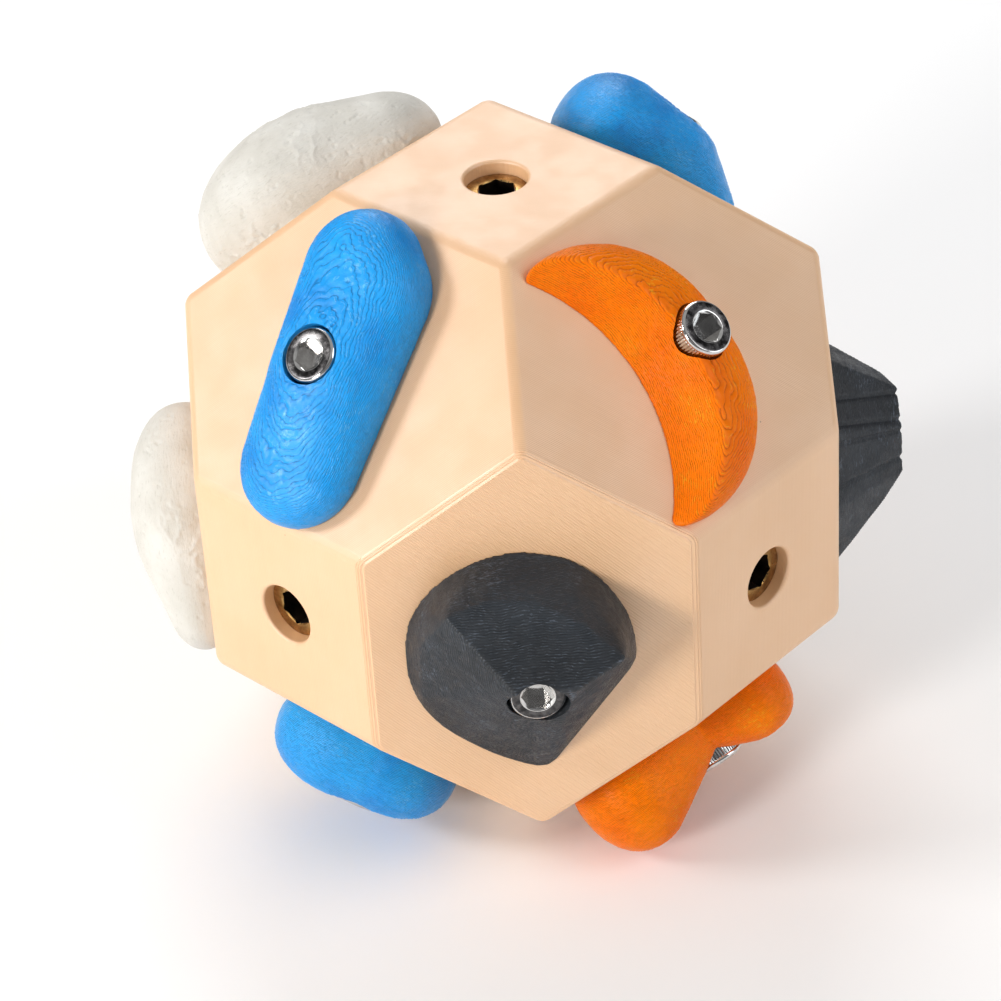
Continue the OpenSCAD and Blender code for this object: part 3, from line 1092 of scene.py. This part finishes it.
def hold(name, seed):
    face, turn, seat, _, kind = HOLDS[name]
    o = add_object(name + "_hold_looks", joined(SHAPES[name](name), name + "_hold_looks"))
    if name == "crescent":
        cut(o, crescent_scoop())
        cut(o, crescent_outline(), "INTERSECT")
    r = o.modifiers.new("grid", "REMESH")
    r.mode, r.voxel_size = "VOXEL", 0.32 * MM
    applied(o)
    relaxed(o.data, 14)
    if name == "crescent":
        relaxed(o.data, 26, FORWARD)
    roughened(o.data, kind, seed, name == "block")
    cut(o, screw_room(seat))
    # Smooth all over, apart from the edges of the screw's room.
    mesh = o.data
    mesh.polygons.foreach_set("use_smooth", [True] * len(mesh.polygons))
    co = coordinates(mesh)
    radius = np.hypot(co[:, 0], co[:, 1]) / MM
    near, sharp_turn = 0.02, 0.6
    bore = np.abs(radius - COUNTERBORE_R) < near
    bore |= np.abs(radius - SHANK_HOLE_R) < near
    bm = bmesh.new()
    bm.from_mesh(mesh)
    bm.verts.ensure_lookup_table()
    for e in bm.edges:
        if bore[e.verts[0].index] and bore[e.verts[1].index]:
            if len(e.link_faces) == 2 and e.calc_face_angle(0) > sharp_turn:
                e.smooth = False
    bm.to_mesh(mesh)
    bm.free()
    dressed(o, PRINTS[kind])
    place_on_face(
        o, face_matrix(face, HEX, turn) @ Matrix.Translation((0, 0, SEAT_GAP * MM))
    )
    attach(o, name + "_hold")
    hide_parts(name + "_hold")
    return o


# ---------------------------------------------------------------- screws
def hexagon_cutter(flats, low, high):
    r = flats / 2 / math.cos(math.pi / 6)
    return lathe([(0, low), (r, low), (r, high), (0, high)], 6, "hexagon")


def screw(name):
    """A socket-head screw: rings for its thread, a knurled head and a rounded rim."""
    face, turn, seat, length, _ = HOLDS[name]
    low = seat + SEAT_GAP
    top = low + HEAD_H
    tip = low - length
    root = SCREW_R - 0.4
    point = 0.4
    profile = [(0, tip), (SCREW_R - 0.75, tip), (SCREW_R - 0.35, tip + point)]
    z = tip + point
    while z < low - 1.6:
        profile += [(root, z + 0.1), (SCREW_R, z + 0.42), (SCREW_R, z + 0.58), (root, z + 0.9)]
        z += SCREW_PITCH
    profile += [(root, low), (HEAD_R - 0.3, low), (HEAD_R - 0.05, low + 0.25)]
    # Up the head's side, over its rim and into the dish round the socket.
    profile += [
        (HEAD_R, low + 0.5),
        (HEAD_R, top - 1.25),
        (HEAD_R - 0.12, top - 1.0),
        (HEAD_R - 0.02, top - 0.8),
        (HEAD_R - 0.03, top - 0.62),
        (HEAD_R - 0.12, top - 0.38),
        (HEAD_R - 0.3, top - 0.15),
        (HEAD_R - 0.55, top - 0.02),
        (HEAD_R - 0.8, top),
        (3.05, top),
        (2.9, top - 0.04),
        (2.55, top - 0.32),
        (0, top - 0.32),
    ]

    groove = (0.0, 0.03, 0.24, 0.03)

    def knurl(r, z, k):
        if low + 0.4 < z < top - 1.1 and r > HEAD_R - 0.1:
            return r - groove[k % len(groove)]
        return r

    around = KNURL_RIDGES * len(groove)
    m = lathe(profile, around, name + "_screw_looks", knurl)
    o = add_object(name + "_screw_looks", m)
    cut(o, hexagon_cutter(SOCKET_FLATS, top - SOCKET_DEEP, top + 1.0))
    smooth_shaded(o.data, 32)
    dressed(o, STEEL, RING_PAINTED_REFLECTION)
    # The flat ring on top gets the darker steel, a painted dark reflection.
    for poly in o.data.polygons:
        c = poly.center / MM
        if c.z > top - 0.012 and math.hypot(c.x, c.y) > 3.0:
            poly.material_index = 1
    place_on_face(o, face_matrix(face, HEX, turn + 11 * len(name)))
    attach(o, name + "_screw")
    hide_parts(name + "_screw")
    return o


# ---------------------------------------------------------------- inserts
def insert(node, face, distance):
    """A threaded insert: a coarse thread outside, a flange, a hexagonal drive and a bore."""
    root = BARREL_R - 0.6
    ease = 0.2
    flange = -RECESS - FLANGE_T
    profile = [(0, -INSERT_END), (BARREL_R - 0.9, -INSERT_END), (root, -INSERT_END + ease)]
    z = -INSERT_END + ease
    while z < flange - BARREL_PITCH:
        profile += [(root, z + 0.25), (BARREL_R, z + 0.9), (BARREL_R, z + 1.1), (root, z + 1.75)]
        z += BARREL_PITCH
    profile += [
        (root, flange),
        (FLANGE_R - 0.2, flange),
        (FLANGE_R, flange + 0.2),
        (FLANGE_R, -RECESS - 0.25),
        (FLANGE_R - 0.06, -RECESS - 0.1),
        (FLANGE_R - 0.25, -RECESS),
        (0, -RECESS),
    ]
    o = add_object(node + "_looks", lathe(profile, 96, node + "_looks"))
    crest, valley = INSERT_BORE
    z = -INSERT_END - 1
    bore = [(0, z), (crest, z), (crest, z + 0.9)]
    z += 0.9
    while z < -RECESS - DRIVE_DEEP:
        bore += [(valley, z + 0.4), (valley, z + 0.6), (crest, z + 1.0)]
        z += SCREW_PITCH
    bore += [(crest, -RECESS - 3.0), (0, -RECESS - 3.0)]
    cut(o, lathe(bore, 64, "bore"))
    cut(o, hexagon_cutter(DRIVE_FLATS, -RECESS - DRIVE_DEEP, -RECESS + 1.0))
    under, over = -RECESS - ease, -RECESS + ease
    cut(o, lathe([(0, under), (3.2, under), (3.6, over), (0, over)], 96, "ease"))
    smooth_shaded(o.data, 32)
    dressed(o, BRASS, DRIVE_SHADE)
    # The drive and the bore inside get the near-black painted shade.
    for poly in o.data.polygons:
        c = poly.center / MM
        if -INSERT_END < c.z < -RECESS - 0.1 and math.hypot(c.x, c.y) < 3.65:
            poly.material_index = 1
    place_on_face(o, face_matrix(face, distance, 13 * len(node)))
    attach(o, "ball")
    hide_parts(node)
    return o


ball()
for place, square in SQUARES.items():
    insert("open_insert_" + place, square, SQUARE)
for index, hold_name in enumerate(HOLDS):
    insert(hold_name + "_insert", HOLDS[hold_name][0], HEX)
    screw(hold_name)
    hold(hold_name, 101 + 97 * index)


# ---------------------------------------------------------------- floor, light and camera
def floor():
    m, nt, bsdf = new_material("studio_floor")
    t = Tree(nt)
    p = nt.nodes.new("ShaderNodeTexCoord").outputs["Object"]
    t.put(
        bsdf.inputs["Base Color"],
        t.ramp(t.noise(p, 3.0, 2.0), [(0.3, (0.94, 0.94, 0.94)), (0.7, (0.96, 0.96, 0.96))]),
    )
    bsdf.inputs["Roughness"].default_value = 0.9
    bsdf.inputs["Specular IOR Level"].default_value = 0.1
    r = 4  # metres from the middle to each side
    corners = [(-r, -r, 0), (r, -r, 0), (r, r, 0), (-r, r, 0)]
    o = add_object("studio_floor", mesh_from("studio_floor", corners, [(0, 1, 2, 3)]))
    o.data.materials.append(m)
    return o


def lamp(name, position, target, size, power, colour=(1, 1, 1)):
    data = bpy.data.lights.new(name, "AREA")
    data.shape, data.size, data.energy, data.color = "DISK", size, power, colour
    o = bpy.data.objects.new(name, data)
    bpy.context.scene.collection.objects.link(o)
    o.location = position
    o.rotation_mode = "QUATERNION"
    o.rotation_quaternion = (Vector(target) - Vector(position)).to_track_quat("-Z", "Y")
    return o


floor()
middle = (0, 0, SQUARE * MM)
lamp("key", (0.90, -0.63, 0.65), middle, 0.3, 6.2, (1.0, 0.99, 0.98))
lamp("front", (1.10, 0.04, 0.38), middle, 0.3, 8.2, (1.0, 0.98, 0.95))
lamp("fill", (-0.42, 1.05, 0.84), middle, 0.8, 5.4, (0.97, 0.98, 1.0))
lamp("side", (-0.55, 1.15, 0.2), middle, 0.6, 2.0, (0.88, 0.94, 1.0))
lamp("back", (-0.75, -0.75, 0.85), middle, 0.9, 9.5)

world = bpy.data.worlds.new("studio")
bpy.context.scene.world = world
world.use_nodes = True
# Bands of light and dark, from below to above, for the steel to reflect.
wt = Tree(world.node_tree)
sky = world.node_tree.nodes["Background"]
direction = world.node_tree.nodes.new("ShaderNodeTexCoord").outputs["Generated"]
bands = wt.ramp(
    wt.axis(direction)[2],
    [
        (0.0, (0.75, 0.75, 0.76)),
        (0.16, (0.10, 0.10, 0.11)),
        (0.34, (0.85, 0.85, 0.86)),
        (0.52, (0.08, 0.08, 0.09)),
        (0.8, (0.95, 0.95, 0.95)),
    ],
)
wt.put(sky.inputs["Color"], bands)
sky.inputs["Strength"].default_value = 0.5

camera_data = bpy.data.cameras.new("photo_view")
camera_data.lens = 129.0
camera_data.sensor_width = 36.0
camera_data.clip_start, camera_data.clip_end = 0.05, 20.0
camera = bpy.data.objects.new("photo_view", camera_data)
bpy.context.scene.collection.objects.link(camera)
bpy.context.scene.camera = camera


def rotation_of(axis_angle):
    """The rotation matrix of a vector whose length is the angle."""
    v = Vector(axis_angle)
    return Matrix.Rotation(v.length, 3, v.normalized())


# Camera axes: x to the right, y down and z forward, in units of the half width of the ball.
turned = rotation_of((1.0657, 2.2990, -1.2177))
shift = Vector((0.0408, -0.1301, 11.0344))
eye = -(turned.transposed() @ shift) * SQUARE * MM + Vector((0, 0, SQUARE * MM))
axes = turned.transposed()
axes = Matrix((axes.col[0], -axes.col[1], -axes.col[2])).transposed()
camera.matrix_world = Matrix.Translation(eye) @ axes.to_4x4()

bpy.context.scene.view_settings.view_transform = "Standard"
bpy.context.scene.view_settings.look = "None"
bpy.context.scene.view_settings.exposure = -0.08
